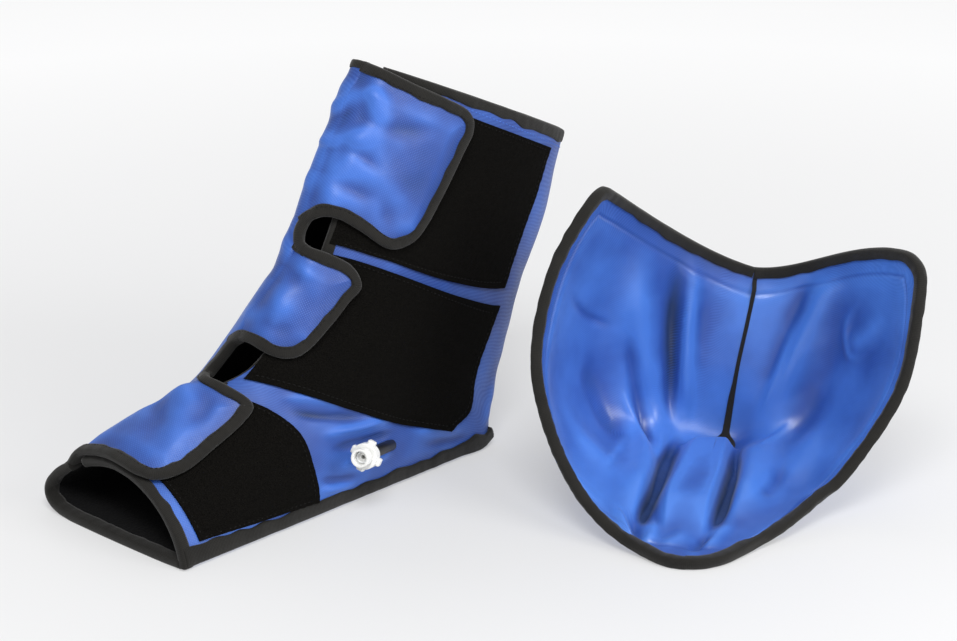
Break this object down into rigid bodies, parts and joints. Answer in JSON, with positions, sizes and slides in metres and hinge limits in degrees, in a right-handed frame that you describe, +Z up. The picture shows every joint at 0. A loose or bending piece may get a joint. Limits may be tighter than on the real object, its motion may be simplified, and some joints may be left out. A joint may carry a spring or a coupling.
{
  "type": "cold compression wrap",
  "caption": "Open-toed compression boot with an air bladder in its wall and closure flaps, with its removable cold insert for the heel and ankle.",
  "frame": {"origin": "middle of the floor rectangle that the boot and its insert stand in", "axes": "+X from the toe opening towards the heel, +Y from the seam side with the air port towards the folded side, +Z up"},
  "size_m": [0.4436, 0.4094, 0.2881],
  "materials": {
    "nylon": "coated woven nylon, satin",
    "binding_tape": "woven edge tape, matt",
    "loop_fabric": "brushed loop pile, matt",
    "hook_fabric": "moulded hook tape, matt",
    "lining": "brushed knit, matt",
    "bladder_film": "welded film, satin",
    "coated_film": "film-coated nylon, glossy",
    "cold_core": "gel pack, satin",
    "rubber": "flexible tube, satin",
    "white_plastic": "moulded plastic, satin gloss"
  },
  "bodies": {
    "boot": {"near_shell": "nylon", "far_shell": "nylon", "near_bladder": "bladder_film", "far_bladder": "bladder_film", "near_lining": "lining", "far_lining": "lining", "near_toe_binding": "binding_tape", "far_toe_binding": "binding_tape", "near_top_binding": "binding_tape", "far_top_binding": "binding_tape", "front_edge_binding": "binding_tape", "sole_seam_binding": "binding_tape", "loop_field_top": "loop_fabric", "loop_field_middle": "loop_fabric", "loop_field_toe": "loop_fabric", "air_tube": "rubber", "fitting_body": "white_plastic", "mouth_seal": "rubber"},
    "flap_top": {"flap_top_cover": "nylon", "flap_top_binding": "binding_tape", "flap_top_hook": "hook_fabric"},
    "flap_middle": {"flap_middle_cover": "nylon", "flap_middle_binding": "binding_tape", "flap_middle_hook": "hook_fabric"},
    "flap_toe": {"flap_toe_cover": "nylon", "flap_toe_binding": "binding_tape", "flap_toe_hook": "hook_fabric"},
    "collar": {"locking_collar": "white_plastic"},
    "insert": {"insert_left_face": "coated_film", "insert_left_core": "cold_core", "insert_left_back": "coated_film", "insert_left_binding": "binding_tape", "insert_right_face": "coated_film", "insert_right_core": "cold_core", "insert_right_back": "coated_film", "insert_right_binding": "binding_tape", "insert_seam_tape": "binding_tape"}
  },
  "joints": [
    {"name": "flap_top_hinge", "type": "hinge", "parent": "boot", "child": "flap_top", "pos_m": [-0.04264, 0.10764, 0.23893], "axis": [-0.5012, 0.0007, -0.8653], "range_deg": [0, 120]},
    {"name": "flap_middle_hinge", "type": "hinge", "parent": "boot", "child": "flap_middle", "pos_m": [-0.09646, 0.11867, 0.14537], "axis": [-0.5272, 0.2537, -0.811], "range_deg": [0, 120]},
    {"name": "flap_toe_hinge", "type": "hinge", "parent": "boot", "child": "flap_toe", "pos_m": [-0.16855, 0.16689, 0.06335], "axis": [-0.7514, 0.4154, -0.5126], "range_deg": [0, 100]},
    {"name": "collar_turn", "type": "hinge", "parent": "boot", "child": "collar", "pos_m": [-0.07399, 0.04236, 0.04309], "axis": [-0.8763, -0.4182, 0.239], "range_deg": [0, 90]},
    {"name": "insert_lift", "type": "slide", "parent": "boot", "child": "insert", "axis": [0, 0, 1], "range_m": [0, 0.3]}
  ]
}
